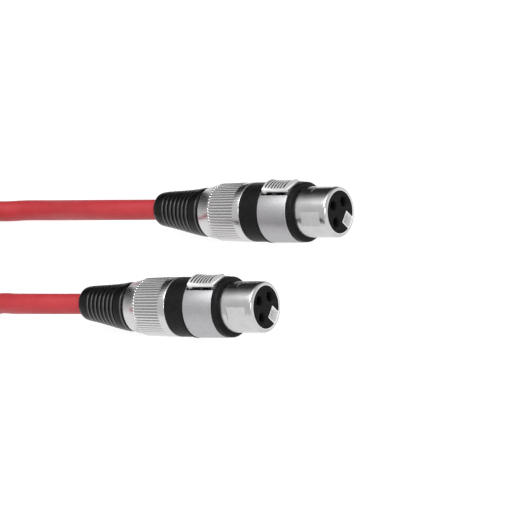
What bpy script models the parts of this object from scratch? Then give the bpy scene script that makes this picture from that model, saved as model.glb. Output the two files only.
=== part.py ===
"""A microphone cable: two three-pole female XLR connectors on one red cable that is wound into a coil.

The connectors lie side by side with their faces towards +X. Each one is described in its own frame:
the axis runs along X, the mating face is at zero, and distances behind the face are positive numbers.
Angles round the axis start at +Z and grow towards -Y. All lengths are in metres.
"""

import math

import bmesh
import bpy
from mathutils import Matrix, Vector

GAP = 0.0003

# Where the connectors stand
CONNECTOR_LENGTH = 0.0692
CONNECTOR_SPACING = 0.0491
AXIS_HEIGHT = 0.0097
FACE_X = CONNECTOR_LENGTH / 2
CONNECTOR_Y = {"a": CONNECTOR_SPACING / 2, "b": -CONNECTOR_SPACING / 2}

# Angles round the axis
CONTACT_ANGLES = {"1": math.radians(-68), "2": math.radians(112), "3": math.radians(22)}
KEY_ANGLE = math.radians(-158)
LATCH_ANGLE = math.radians(-8)
RECESS_ANGLE = math.radians(70)

# Shell
NOSE_RADIUS = 0.0080
SHELL_BORE = 0.0069
BODY_RADIUS = 0.0096
BODY_FRONT = 0.0142
BODY_REAR = 0.0250
SEAT_RADIUS = 0.0086
SEAT_REAR = 0.0320
THREAD_RADIUS = 0.0076
THREAD_REAR = 0.0392
TAIL_BORE = 0.0066
RECESS_START, RECESS_END = 0.0022, 0.0095
RECESS_FLOOR = 0.00735

# Rings
FRONT_RING_START = 0.0119
RING_RADIUS = 0.00945
REAR_RING_LIP = AXIS_HEIGHT

# Insert and contacts
INSERT_START, INSERT_END = 0.0004, 0.0180
INSERT_RADIUS = SHELL_BORE - GAP
CONTACT_CIRCLE = 0.00381
PIN_HOLE_RADIUS = 0.0014
CAVITY_RADIUS = 0.00195
CONTACT_RADIUS = 0.00165
CONTACT_START, CONTACT_END = 0.0018, 0.0262
CUP_RADIUS = 0.0012
KEYWAY_WIDTH = 0.0042
KEYWAY_FLOOR = 0.0030

# Latch
PAD_START, PAD_END = 0.0146, 0.0241
PAD_HALF_WIDTH = 0.0034
PAD_BOTTOM = 0.0080
PAD_CROWN = 0.0103
PAD_CROWN_RADIUS = 0.0082
EAR_CENTRE, EAR_HALF_WIDTH = 0.0029, 0.00045
ARM_HALF_WIDTH = 0.0014
ARM_BOTTOM, ARM_TOP = 0.0066, 0.0079
TOOTH_START, TOOTH_END = 0.0074, 0.0090
TOOTH_TOP = 0.0081
HINGE_BEHIND = 0.0222
HINGE_HEIGHT = 0.0062
HINGE_PIN_RADIUS = 0.0006
HINGE_PIN_HALF_LENGTH = 0.0055
SPRING_WIRE_RADIUS = 0.00025
SPRING_COIL_RADIUS = 0.0012
SPRING_HALF_WIDTH = 0.0020

# Back nut, boot and chuck
NUT_START, NUT_END = 0.0323, 0.0495
NUT_BORE = 0.0079
NUT_THROAT = 0.0065
BOOT_NECK_START, BOOT_START = 0.0473, 0.0498
BOOT_BORE = 0.0036
CHUCK_START, CHUCK_END = 0.0396, 0.0468

# Cable
CABLE_RADIUS = 0.00325
JACKET_START = 0.0365
JACKET_END = 0.0783
CORE_RADIUS = 0.0005
COIL_CENTRE = Vector((-0.1474, -0.0035, 0.0))
COIL_MEAN_RADIUS = 0.0375
COIL_HALF_WIDTH = 0.0100
COIL_HEIGHT = 0.0132
TIE_ANGLE = math.radians(180)
TIE_WIDTH = 0.0160
TIE_THICKNESS = 0.0013

SIDES = 32
SMALL_SIDES = 10

# The leads' routes beyond the straight piece in each connector: down to the floor and on to the coil
LEAD_ROUTES = {
    "a": [
        (-0.0440, 0.02455, 0.00970),
        (-0.0520, 0.02455, 0.00970),
        (-0.0634, 0.02599, 0.00861),
        (-0.0744, 0.02882, 0.00648),
        (-0.0854, 0.03164, 0.00434),
        (-0.0974, 0.03308, 0.00325),
        (-0.1050, 0.03330, 0.00325),
        (-0.1119, 0.03440, 0.00325),
    ],
    "b": [
        (-0.0440, -0.02455, 0.00970),
        (-0.0520, -0.02455, 0.00970),
        (-0.0634, -0.02311, 0.00861),
        (-0.0744, -0.02050, 0.00648),
        (-0.0834, -0.02180, 0.00440),
        (-0.0924, -0.02680, 0.00330),
        (-0.1014, -0.03420, 0.00325),
        (-0.1104, -0.04180, 0.00360),
        (-0.1200, -0.04700, 0.00520),
    ],
}
LEAD_POINT_STEP = 0.0040


def clear_scene():
    for obj in list(bpy.data.objects):
        bpy.data.objects.remove(obj, do_unlink=True)


def material(name, colour, roughness, metallic=0.0):
    made = bpy.data.materials.new(name)
    made.use_nodes = True
    shader = made.node_tree.nodes["Principled BSDF"]
    shader.inputs["Base Color"].default_value = (*colour, 1.0)
    shader.inputs["Roughness"].default_value = roughness
    shader.inputs["Metallic"].default_value = metallic
    return made


def finished(bm):
    """The bmesh as mesh data with its faces pointing out and its round sides shaded smooth."""
    bmesh.ops.remove_doubles(bm, verts=bm.verts, dist=1e-6)
    bmesh.ops.recalc_face_normals(bm, faces=bm.faces)
    mesh = bpy.data.meshes.new("shape")
    bm.to_mesh(mesh)
    bm.free()
    mesh.shade_smooth()
    mesh.set_sharp_from_angle(angle=math.radians(35))
    return mesh


def turned(outline, sides=SIDES):
    """An outline of (behind the face, radius) points turned about the axis. It is open if it ends on the axis."""
    bm = bmesh.new()
    points = [bm.verts.new((-behind, 0.0, radius)) for behind, radius in outline]
    closed = all(radius > 0 for _, radius in outline)
    following = points[1:] + points[: 1 if closed else 0]
    edges = [bm.edges.new(pair) for pair in zip(points, following)]
    bmesh.ops.spin(
        bm, geom=points + edges, axis=(1, 0, 0), cent=(0, 0, 0), angle=math.tau, steps=sides, use_merge=True
    )
    return finished(bm)


def prism(outline, low, high, place):
    """A closed outline of two-number points, extruded from low to high. place(first, second, along) is a point."""
    bm = bmesh.new()
    ends = [[bm.verts.new(place(*point, along)) for point in outline] for along in (low, high)]
    for end in ends:
        bm.faces.new(end)
    for near, far in zip(zip(ends[0], ends[0][1:] + ends[0][:1]), zip(ends[1], ends[1][1:] + ends[1][:1])):
        bm.faces.new((*near, *reversed(far)))
    return finished(bm)


def side_view(outline, half_width):
    """A prism across the latch's or strip's width from its side view, (behind the face, height) points."""
    return prism(outline, -half_width, half_width, lambda behind, height, across: (-behind, across, height))


def block(start, end, half_width, bottom, top, centre=0.0):
    """A box: start and end behind the face, then its half width round a centre, and its bottom and top."""
    outline = [(start, bottom), (end, bottom), (end, top), (start, top)]
    mesh = side_view(outline, half_width)
    mesh.transform(Matrix.Translation((0, centre, 0)))
    return mesh


def cross_rod(radius, half_length, behind, height):
    """A round rod across the latch, at a height over the axis."""
    round_outline = [
        (behind + radius * math.cos(turn), height + radius * math.sin(turn))
        for turn in (math.tau * step / SMALL_SIDES for step in range(SMALL_SIDES))
    ]
    return side_view(round_outline, half_length)


def rolled(mesh, angle):
    mesh.transform(Matrix.Rotation(angle, 4, "X"))
    return mesh


def combined(mesh, others, operation):
    """The mesh after a Boolean with each of the other meshes."""
    subject = bpy.data.objects.new("subject", mesh)
    bpy.context.collection.objects.link(subject)
    helpers = []
    for other in others:
        helper = bpy.data.objects.new("helper", other)
        bpy.context.collection.objects.link(helper)
        helpers.append(helper)
        step = subject.modifiers.new("step", "BOOLEAN")
        step.operation = operation
        step.solver = "EXACT"
        step.object = helper
    graph = bpy.context.evaluated_depsgraph_get()
    made = bpy.data.meshes.new_from_object(subject.evaluated_get(graph))
    for obj in [subject, *helpers]:
        bpy.data.objects.remove(obj, do_unlink=True)
    made.shade_smooth()
    made.set_sharp_from_angle(angle=math.radians(35))
    return made


def wire(points, radius, resolution):
    """Curve data of a round wire along straight steps between the points."""
    curve = bpy.data.curves.new("wire", "CURVE")
    curve.dimensions = "3D"
    curve.bevel_depth = radius
    curve.bevel_resolution = resolution
    curve.use_fill_caps = True
    spline = curve.splines.new("POLY")
    spline.points.add(len(points) - 1)
    for point, place in zip(spline.points, points):
        point.co = (*place, 1.0)
    spline.use_smooth = True
    return curve


def smooth_route(points, step):
    """Points at an even step along a Catmull-Rom curve through the given ones."""
    corners = [Vector(point) for point in points]
    padded = [2 * corners[0] - corners[1], *corners, 2 * corners[-1] - corners[-2]]
    fine = []
    for before, start, end, after in zip(padded, padded[1:], padded[2:], padded[3:]):
        for part in (step_number / 16 for step_number in range(16)):
            fine.append(
                0.5
                * (
                    2 * start
                    + (end - before) * part
                    + (2 * before - 5 * start + 4 * end - after) * part**2
                    + (3 * start - before - 3 * end + after) * part**3
                )
            )
    fine.append(corners[-1])
    lengths = [0.0]
    for last, new in zip(fine, fine[1:]):
        lengths.append(lengths[-1] + (new - last).length)
    count = max(2, round(lengths[-1] / step))
    even, index = [], 0
    for target in (lengths[-1] * number / count for number in range(count + 1)):
        while index < len(fine) - 2 and lengths[index + 1] < target:
            index += 1
        share = (target - lengths[index]) / (lengths[index + 1] - lengths[index])
        even.append(fine[index].lerp(fine[index + 1], share))
    return even


def shell():
    """Die-cast shell: nose, body with the latch's window, seat of the rear ring, and threaded tail."""
    outline = [
        (0.0, SHELL_BORE),
        (0.0, 0.0077),
        (0.0004, NOSE_RADIUS),
        (BODY_FRONT, NOSE_RADIUS),
        (BODY_FRONT, BODY_RADIUS),
        (BODY_REAR, BODY_RADIUS),
        (BODY_REAR, SEAT_RADIUS),
        (SEAT_REAR, SEAT_RADIUS),
        (SEAT_REAR, THREAD_RADIUS),
        (THREAD_REAR, THREAD_RADIUS),
        (THREAD_REAR, TAIL_BORE),
        (0.0260, TAIL_BORE),
        (0.0260, SHELL_BORE),
    ]
    window = block(BODY_FRONT - 0.0001, 0.0244, PAD_HALF_WIDTH + GAP, 0.0050, 0.0110)
    arm_slot = block(TOOTH_START - 0.0004, BODY_FRONT + 0.0001, ARM_HALF_WIDTH + GAP, 0.0060, 0.0090)
    pin_holes = cross_rod(HINGE_PIN_RADIUS + GAP, HINGE_PIN_HALF_LENGTH + GAP, HINGE_BEHIND, HINGE_HEIGHT)
    recess = block(RECESS_START, RECESS_END, 0.0045, RECESS_FLOOR, 0.0090)
    cuts = [rolled(cut, LATCH_ANGLE) for cut in (window, arm_slot, pin_holes)]
    return combined(turned(outline), [*cuts, rolled(recess, RECESS_ANGLE)], "DIFFERENCE")


def front_ring():
    inner = NOSE_RADIUS + GAP
    rear = BODY_FRONT - GAP
    outline = [
        (FRONT_RING_START, inner),
        (FRONT_RING_START, 0.0089),
        (FRONT_RING_START + 0.0006, RING_RADIUS),
        (rear, RING_RADIUS),
        (rear, inner),
    ]
    return turned(outline)


def rear_ring():
    inner = SEAT_RADIUS + GAP
    front, lip_end = BODY_REAR + GAP, 0.0262
    outline = [
        (front, inner),
        (front, REAR_RING_LIP),
        (lip_end, REAR_RING_LIP),
        (lip_end + 0.0002, RING_RADIUS),
        (SEAT_REAR, RING_RADIUS),
        (SEAT_REAR, inner),
    ]
    return turned(outline)


def insert():
    """Insulator with a stepped hole for each contact, the keyway, and a channel under the latch's arm."""
    body = turned(
        [(INSERT_START, 0.0), (INSERT_START, INSERT_RADIUS), (INSERT_END, INSERT_RADIUS), (INSERT_END, 0.0)]
    )
    step = CONTACT_START - GAP
    cuts = []
    for angle in CONTACT_ANGLES.values():
        hole = turned(
            [(-0.001, 0.0), (-0.001, PIN_HOLE_RADIUS), (step, PIN_HOLE_RADIUS)]
            + [(step, CAVITY_RADIUS), (INSERT_END + 0.001, CAVITY_RADIUS), (INSERT_END + 0.001, 0.0)],
            SMALL_SIDES,
        )
        hole.transform(Matrix.Translation((0, 0, CONTACT_CIRCLE)))
        cuts.append(rolled(hole, angle))
    keyway = block(-0.001, INSERT_END + 0.001, KEYWAY_WIDTH / 2, KEYWAY_FLOOR, 0.0080)
    channel = block(0.0066, INSERT_END + 0.001, ARM_HALF_WIDTH + GAP, 0.0053, 0.0080)
    cuts += [rolled(keyway, KEY_ANGLE), rolled(channel, LATCH_ANGLE)]
    return combined(body, cuts, "DIFFERENCE")


def contact():
    """Socket contact with its bore in front and its solder cup behind, on its own axis."""
    outline = [
        (0.0130, 0.0),
        (0.0130, 0.0012),
        (CONTACT_START, 0.0012),
        (CONTACT_START, CONTACT_RADIUS),
        (0.0205, CONTACT_RADIUS),
        (0.0205, CUP_RADIUS),
        (CONTACT_END, CUP_RADIUS),
        (CONTACT_END, 0.0008),
        (0.0225, 0.0008),
        (0.0225, 0.0),
    ]
    return turned(outline, SMALL_SIDES)


def ground_contact():
    """Bent strip in the keyway that joins the shell to a solder tag."""
    top = [(0.0030, 0.0065), (0.0212, 0.0065), (0.0232, 0.0055), (0.0262, 0.0055)]
    bottom = [(0.0262, 0.0052), (0.0231, 0.0052), (0.0210, 0.0062), (0.0030, 0.0062)]
    return rolled(side_view(top + bottom, 0.0011), KEY_ANGLE)


def latch():
    """Thumb lever: crowned pad, two ears on the hinge pin, and an arm that ends in the catch tooth."""
    crown_centre = PAD_CROWN - PAD_CROWN_RADIUS
    edge_turn = math.asin(PAD_HALF_WIDTH / PAD_CROWN_RADIUS)
    turns = [edge_turn * (1 - step / 4) for step in range(9)]
    crown = [
        (PAD_CROWN_RADIUS * math.sin(turn), crown_centre + PAD_CROWN_RADIUS * math.cos(turn)) for turn in turns
    ]
    section = [*crown, (-PAD_HALF_WIDTH, PAD_BOTTOM), (PAD_HALF_WIDTH, PAD_BOTTOM)]
    pad = prism(section, PAD_START, PAD_END, lambda across, height, behind: (-behind, across, height))
    joined = [
        block(0.0208, 0.0236, EAR_HALF_WIDTH, 0.0050, PAD_BOTTOM + 0.0002, centre)
        for centre in (-EAR_CENTRE, EAR_CENTRE)
    ]
    arm = [
        (TOOTH_START, ARM_BOTTOM),
        (0.0175, ARM_BOTTOM),
        (0.0175, PAD_BOTTOM + 0.0002),
        (0.0150, PAD_BOTTOM + 0.0002),
        (0.0150, ARM_TOP),
        (TOOTH_END, ARM_TOP),
        (TOOTH_END, TOOTH_TOP),
        (TOOTH_END - 0.0006, TOOTH_TOP),
        (TOOTH_START, 0.0075),
    ]
    joined.append(side_view(arm, ARM_HALF_WIDTH))
    solid = combined(pad, joined, "UNION")
    bore = cross_rod(HINGE_PIN_RADIUS + GAP, 0.0050, HINGE_BEHIND, HINGE_HEIGHT)
    return rolled(combined(solid, [bore], "DIFFERENCE"), LATCH_ANGLE)


def latch_pin():
    return rolled(
        cross_rod(HINGE_PIN_RADIUS, HINGE_PIN_HALF_LENGTH, HINGE_BEHIND, HINGE_HEIGHT), LATCH_ANGLE
    )


def latch_spring():
    """Torsion spring on the hinge pin: one leg under the pad, the other on the insert."""
    steps_per_turn, turns = 6, 3.5
    steps = round(steps_per_turn * turns)
    lay = [(0.0172, SPRING_HALF_WIDTH, 0.0071), (0.0205, SPRING_HALF_WIDTH, 0.0073)]
    for step in range(steps + 1):
        turn = math.tau * step / steps_per_turn
        behind = HINGE_BEHIND + SPRING_COIL_RADIUS * math.sin(turn)
        height = HINGE_HEIGHT + SPRING_COIL_RADIUS * math.cos(turn)
        lay.append((behind, SPRING_HALF_WIDTH * (1 - 2 * step / steps), height))
    lay += [(0.0198, -SPRING_HALF_WIDTH, 0.0057), (0.0184, -SPRING_HALF_WIDTH, 0.0068)]
    lay.append((0.0165, -SPRING_HALF_WIDTH, 0.0069))
    roll = Matrix.Rotation(LATCH_ANGLE, 3, "X")
    points = [roll @ Vector((-behind, across, height)) for behind, across, height in lay]
    return wire(points, SPRING_WIRE_RADIUS, 0)


def back_nut():
    outline = [
        (NUT_START, NUT_BORE),
        (NUT_START, 0.00933),
        (0.0348, 0.00933),
        (0.0446, 0.0090),
        (NUT_END, 0.0079),
        (NUT_END, NUT_THROAT),
        (0.0470, NUT_THROAT),
        (0.0412, 0.0073),
        (0.0400, NUT_BORE),
    ]
    return turned(outline)


def boot():
    """Rubber bend protector: a neck in the nut's throat, then a tapering body with a domed end."""
    outline = [
        (BOOT_NECK_START, BOOT_BORE),
        (BOOT_NECK_START, NUT_THROAT - GAP),
        (BOOT_START, NUT_THROAT - GAP),
        (BOOT_START, 0.0078),
        (0.0519, 0.00767),
        (0.0558, 0.00705),
        (0.0635, 0.00594),
        (0.0673, 0.0055),
        (0.0688, 0.0049),
        (CONNECTOR_LENGTH, 0.0042),
        (CONNECTOR_LENGTH, BOOT_BORE),
    ]
    return turned(outline, 24)


def chuck():
    """Slotted collet that grips the jacket inside the nut."""
    outline = [
        (CHUCK_START, BOOT_BORE),
        (CHUCK_START, 0.0069),
        (0.0412, 0.0069),
        (CHUCK_END, 0.0056),
        (CHUCK_END, BOOT_BORE),
    ]
    slots = [block(0.0416, CHUCK_END + 0.001, 0.0004, -0.008, 0.008)]
    slots.append(rolled(block(0.0416, CHUCK_END + 0.001, 0.0004, -0.008, 0.008), math.pi / 2))
    return combined(turned(outline, 16), slots, "DIFFERENCE")


def jacket_end():
    """The jacketed end of the cable, straight through chuck, nut and boot."""
    outline = [(JACKET_START, 0.0), (JACKET_START, CABLE_RADIUS), (JACKET_END, CABLE_RADIUS), (JACKET_END, 0.0)]
    return turned(outline, 12)


def core(angle):
    """An insulated core or the drain wire, fanning out from the jacket to its solder cup."""
    rises = [(0.0362, 0.0011), (0.0342, 0.0012), (0.0318, 0.0019), (0.0295, 0.0031), (0.0280, 0.00365)]
    rises.append((CONTACT_END + GAP, CONTACT_CIRCLE))
    points = [(-behind, -height * math.sin(angle), height * math.cos(angle)) for behind, height in rises]
    return wire(points, CORE_RADIUS, 1)


def placed(name, data, finish, parent, pivot=(0.0, 0.0, 0.0)):
    """A node. Its data is drawn in its parent's frame, and its origin is moved to the pivot."""
    obj = bpy.data.objects.new(name, data)
    bpy.context.collection.objects.link(obj)
    data.materials.clear()
    data.materials.append(finish)
    obj.parent = parent
    obj.location = pivot
    return obj


def about(mesh, pivot):
    mesh.transform(Matrix.Translation(-Vector(pivot)))
    return mesh


def connector_pieces(finishes):
    """Every piece of one connector: name, data, finish and the pivot that its origin is on."""
    hinge_pivot = Matrix.Rotation(LATCH_ANGLE, 3, "X") @ Vector((-HINGE_BEHIND, 0.0, HINGE_HEIGHT))
    nut_pivot = (-(NUT_START + NUT_END) / 2, 0.0, 0.0)
    boot_pivot = (-BOOT_START, 0.0, 0.0)
    fixed = (0.0, 0.0, 0.0)
    pieces = [
        ("shell", shell(), "nickel", fixed),
        ("front_ring", front_ring(), "black_plastic", fixed),
        ("rear_ring", rear_ring(), "black_plastic", fixed),
        ("insert", insert(), "insulator", fixed),
        ("ground_contact", ground_contact(), "spring_steel", fixed),
        ("latch", about(latch(), hinge_pivot), "nickel", hinge_pivot),
        ("latch_pin", latch_pin(), "spring_steel", fixed),
        ("latch_spring", latch_spring(), "spring_steel", fixed),
        ("back_nut", about(back_nut(), nut_pivot), "nickel", nut_pivot),
        ("boot", about(boot(), boot_pivot), "rubber", boot_pivot),
        ("chuck", chuck(), "chuck_plastic", fixed),
        ("cable_end", jacket_end(), "cable_jacket", fixed),
    ]
    core_finishes = {"1": "copper", "2": "core_white", "3": "core_blue"}
    for number, angle in CONTACT_ANGLES.items():
        socket = contact()
        socket.transform(Matrix.Translation((0, 0, CONTACT_CIRCLE)))
        pieces.append((f"contact_{number}", rolled(socket, angle), "contact_metal", fixed))
        wire_name = "drain_wire" if number == "1" else f"core_{number}"
        pieces.append((wire_name, core(angle), core_finishes[number], fixed))
    return [(name, data, finishes[finish], pivot) for name, data, finish, pivot in pieces]


def cable_coil(finish):
    """The wound cable as one ring, notched below where the tie passes under it."""
    inner, outer = COIL_MEAN_RADIUS - COIL_HALF_WIDTH, COIL_MEAN_RADIUS + COIL_HALF_WIDTH
    round_off = 0.0022
    bm = bmesh.new()
    outline = [
        (outer, round_off),
        (outer, COIL_HEIGHT - round_off),
        (outer - round_off, COIL_HEIGHT),
        (inner + round_off, COIL_HEIGHT),
        (inner, COIL_HEIGHT - round_off),
        (inner, round_off),
        (inner + round_off, 0.0),
        (outer - round_off, 0.0),
    ]
    points = [bm.verts.new((radius, 0.0, height)) for radius, height in outline]
    edges = [bm.edges.new(pair) for pair in zip(points, points[1:] + points[:1])]
    bmesh.ops.spin(
        bm, geom=points + edges, axis=(0, 0, 1), cent=(0, 0, 0), angle=math.tau, steps=40, use_merge=True
    )
    notch_depth = TIE_THICKNESS + GAP
    notch = prism(
        [(inner - 0.005, -0.001), (outer + 0.005, -0.001), (outer + 0.005, notch_depth), (inner - 0.005, notch_depth)],
        -TIE_WIDTH / 2 - 0.001,
        TIE_WIDTH / 2 + 0.001,
        lambda radius, height, across: (radius, across, height),
    )
    notch.transform(Matrix.Rotation(TIE_ANGLE, 4, "Z"))
    ring = combined(finished(bm), [notch], "DIFFERENCE")
    return placed("cable_coil", ring, finish, None, COIL_CENTRE)


def cable_tie(finish):
    """Strap round the coil: a flat band with cut corners, square to the turns."""
    half = TIE_WIDTH / 2
    inner = math.sqrt((COIL_MEAN_RADIUS - COIL_HALF_WIDTH) ** 2 - half**2) - GAP
    outer = COIL_MEAN_RADIUS + COIL_HALF_WIDTH + GAP
    top = COIL_HEIGHT + GAP

    def loop(grow, corner):
        low, high = inner - grow, outer + grow
        floor, roof = TIE_THICKNESS - grow, top + grow
        return [
            (low + corner, floor),
            (high - corner, floor),
            (high, floor + corner),
            (high, roof - corner),
            (high - corner, roof),
            (low + corner, roof),
            (low, roof - corner),
            (low, floor + corner),
        ]

    def across_band(radius, height, across):
        return (radius, across, height)

    band = prism(loop(TIE_THICKNESS, 0.0016), -half, half, across_band)
    hollow = prism(loop(0.0, 0.0003), -half - 0.001, half + 0.001, across_band)
    strap = combined(band, [hollow], "DIFFERENCE")
    strap.transform(Matrix.Rotation(TIE_ANGLE, 4, "Z"))
    return placed("cable_tie", strap, finish, None, COIL_CENTRE)


def main():
    clear_scene()
    finishes = {
        "nickel": material("nickel", (0.62, 0.62, 0.62), 0.25, 1.0),
        "black_plastic": material("black_plastic", (0.020, 0.020, 0.022), 0.45),
        "insulator": material("insulator", (0.035, 0.035, 0.038), 0.55),
        "rubber": material("rubber", (0.014, 0.014, 0.015), 0.60),
        "contact_metal": material("contact_metal", (0.83, 0.82, 0.78), 0.22, 1.0),
        "spring_steel": material("spring_steel", (0.60, 0.60, 0.60), 0.30, 1.0),
        "chuck_plastic": material("chuck_plastic", (0.10, 0.10, 0.11), 0.50),
        "cable_jacket": material("cable_jacket", (0.45, 0.035, 0.055), 0.50),
        "core_white": material("core_white", (0.75, 0.75, 0.72), 0.45),
        "core_blue": material("core_blue", (0.03, 0.10, 0.40), 0.45),
        "copper": material("copper", (0.72, 0.38, 0.22), 0.35, 1.0),
        "tie_fabric": material("tie_fabric", (0.020, 0.020, 0.021), 0.90),
    }
    pieces = connector_pieces(finishes)
    for end, across in CONNECTOR_Y.items():
        stand = bpy.data.objects.new(f"connector_{end}", None)
        bpy.context.collection.objects.link(stand)
        stand.location = (FACE_X, across, AXIS_HEIGHT)
        for name, data, finish, pivot in pieces:
            placed(f"{name}_{end}", data, finish, stand, pivot)
        route = smooth_route(LEAD_ROUTES[end], LEAD_POINT_STEP)
        placed(f"cable_lead_{end}", wire(route, CABLE_RADIUS, 3), finishes["cable_jacket"], None)
    cable_coil(finishes["cable_jacket"])
    cable_tie(finishes["tie_fabric"])


main()
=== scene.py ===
"""The looks of a coiled microphone cable with a three-pole female XLR connector at each end.

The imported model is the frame. The pieces of a connector are made once, round the connector's own axis,
and shown at both ends. There t is millimetres behind the mating face, r is millimetres from the axis,
and the angle beta starts at the top and grows towards -Y. The strap's section is in millimetres too.
Everything else is in metres, in the frame's axes.
"""

import math

import bmesh
import bpy
from mathutils import Matrix, Vector


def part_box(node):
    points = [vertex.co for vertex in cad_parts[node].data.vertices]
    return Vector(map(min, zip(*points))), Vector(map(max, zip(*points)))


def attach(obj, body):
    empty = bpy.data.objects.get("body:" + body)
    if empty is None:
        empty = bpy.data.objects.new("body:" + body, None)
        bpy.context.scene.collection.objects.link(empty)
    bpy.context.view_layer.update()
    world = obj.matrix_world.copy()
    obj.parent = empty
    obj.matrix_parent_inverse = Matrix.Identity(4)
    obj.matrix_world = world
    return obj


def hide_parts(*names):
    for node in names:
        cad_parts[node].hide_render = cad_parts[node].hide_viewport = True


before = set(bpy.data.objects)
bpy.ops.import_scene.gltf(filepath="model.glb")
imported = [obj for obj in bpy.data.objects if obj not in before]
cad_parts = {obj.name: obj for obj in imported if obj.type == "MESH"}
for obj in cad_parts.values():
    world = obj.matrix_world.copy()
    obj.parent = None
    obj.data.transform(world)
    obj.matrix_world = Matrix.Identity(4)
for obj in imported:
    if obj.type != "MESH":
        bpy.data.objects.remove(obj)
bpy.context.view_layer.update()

MM = 0.001
ENDS = ("a", "b")
ROOT = "cable_assembly"
SHARP_EDGE = 35  # degrees

# Angles round a connector's axis
CONTACT_ANGLES = {"1": math.radians(-68), "2": math.radians(112), "3": math.radians(22)}
KEY_ANGLE = math.radians(-158)
LATCH_ANGLE = math.radians(-8)
RECESS_ANGLE = math.radians(70)
BOOT_TOP_DEGREES = -37

# Shell, in millimetres
NOSE_START, NOSE_R, BORE_R, MOUTH_R = -0.35, 8.0, 6.9, 6.75
SLEEVE_START, SLEEVE_END, SLEEVE_R = 14.15, 25.05, 9.6
SEAT_END, SEAT_R = 32.0, 8.6
TAIL_END, TAIL_BORE_START, TAIL_BORE_R = 39.2, 30.0, 6.6
THREAD_START, THREAD_END, THREAD_R = 32.4, 39.0, 7.6
THREAD_PITCH, THREAD_DEPTH, THREAD_FADE = 1.0, 0.45, 0.4
POLISH_END = 13.0

# Black rings and insulator, in millimetres
FRONT_RING_START, FRONT_RING_END, FRONT_RING_R, FRONT_RING_BORE_R = 11.9, 14.0, 9.5, 8.06
REAR_RING_START, REAR_RING_END, REAR_RING_R, REAR_RING_BORE_R = 25.2, 32.0, 9.35, 8.66
REAR_LIP_R = 9.65
INSERT_START, INSERT_END, INSERT_R = -0.2, 18.0, 6.72
CONTACT_CIRCLE = 3.81
CONTACT_R, CONTACT_BORE_R, CUP_R = 1.65, 1.2, 0.8

# Back nut, in millimetres
NUT_START, NUT_END, NUT_FRONT_R, NUT_REAR_R = 32.35, 49.5, 9.33, 9.03
NUT_BORE_R, NUT_NECK_R = 7.9, 6.5
KNURL_START, KNURL_END, KNURL_RIDGES, KNURL_DEPTH = 34.85, 44.65, 60, 0.36
# PLAIN_SHADE is the share of the nut's painted valley shade that its plain parts take
KNURL_FADE, VALLEY_SHARE, PLAIN_SHADE = 0.45, 0.62, 0.35

# Boot, in millimetres: its grooves are (place, depth)
BOOT_START, BOOT_END = 49.8, 69.2
RIBBED_START, RIBBED_END = 50.0, 66.9
BOOT_GROOVES = [(50.15, 0.5), *((53.95 + 1.72 * k, 0.62) for k in range(7))]
GROOVE_HALF_WIDTH = 0.36
BOOT_RISE, CABLE_RISE = 1.0, 0.83
RISE_START, RISE_END = 52.0, 69.0
RISE_Y, RISE_Z = 0.6, 0.8

# Latch, in millimetres
LATCH_START, LATCH_MIDDLE, LATCH_END, LATCH_HALF_WIDTH = 14.5, 19.5, 24.55, 3.4
LATCH_HEIGHT, LATCH_SADDLE, SADDLE_HALF_LENGTH, LATCH_CROWN = 10.30, 0.42, 4.6, 8.0
LIP_REACH, LIP_UNDERSIDE, PAD_UNDERSIDE = 1.3, 10.28, 8.95
RIBS_START, RIB_COUNT, RIB_PITCH, RIB_DEPTH = 17.1, 6, 1.12, 0.35
ARM_HALF_WIDTH, ARM_UNDERSIDE = 1.4, 6.72
ARM_TOPS = ((7.3, 7.6), (7.45, 7.98), (11.6, 7.98), (11.8, 7.6), (15.2, 7.6), (15.4, 9.0), (17.4, 9.0))
BOSS_PLACE, BOSS_OFFSET = (23.7, 8.95), 3.1

# Cable
CABLE_RADIUS = 0.00325
COIL_CENTRE = Vector((-0.1474, -0.0035, 0.0))
COIL_COLUMNS = (0.0440, 0.0375, 0.0310)
COIL_LAYERS = (0.00325, 0.00975)
COIL_START_ANGLE = math.radians(90)
COIL_TURNS = 5.5
TURN_POINTS = 30

# Strap round the coil, in millimetres, and how far the cable rises over it, in metres
TIE_ANGLE = math.radians(180)
TIE_SPREAD = math.radians(11)
TIE_LIFT = 0.0013
STRAP_WIDTH, STRAP_THICKNESS = 16.0, 0.9
STRAP_HALF, STRAP_LOW, STRAP_HIGH, STRAP_CORNER = 10.6, 0.5, 14.9, 3.3
STRAP_TURNS = 1.42
STRAP_OUTSIDE = ((-1, 0.3), (-0.97, 0.5), (0.97, 0.5), (1, 0.3))
STRAP_SECTION = (*STRAP_OUTSIDE, *((-w, -h) for w, h in STRAP_OUTSIDE))

# Studio: a lamp is (name, watts, size, place), and a shade is (start, end, value at start, value at end)
FLOOR_SIZE, FLOOR_GLOW = 14.0, 0.93
LAMPS = (("key", 11.0, 0.45, (-0.16, -0.33, 1.38)), ("front", 4.0, 0.3, (0.94, -0.65, 0.62)))
DARK_WALL = Vector((-0.55, 0.80, 0.22))
WALL_SHADE = (0.24, 0.90, 1.0, 0.02)
OVERHEAD_SHADE = (0.82, 0.98, 0.80, 2.2)
HORIZON_SHADE = (0.04, 0.12, 0.0, 1.0)
HORIZON_LIGHT = 1.25

# The camera looks down at the faces from the front, turned a little about its own line of sight
VIEW_RIGHT = Vector((0.8078, 0.4709, -0.3560))
VIEW_UP = Vector((0.0, 0.6033, 0.7981))
CAMERA_DISTANCE, VIEW_WIDTH = 4.0, 0.1653
AIM_RIGHT, AIM_UP = -0.02318, -0.01662

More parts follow.
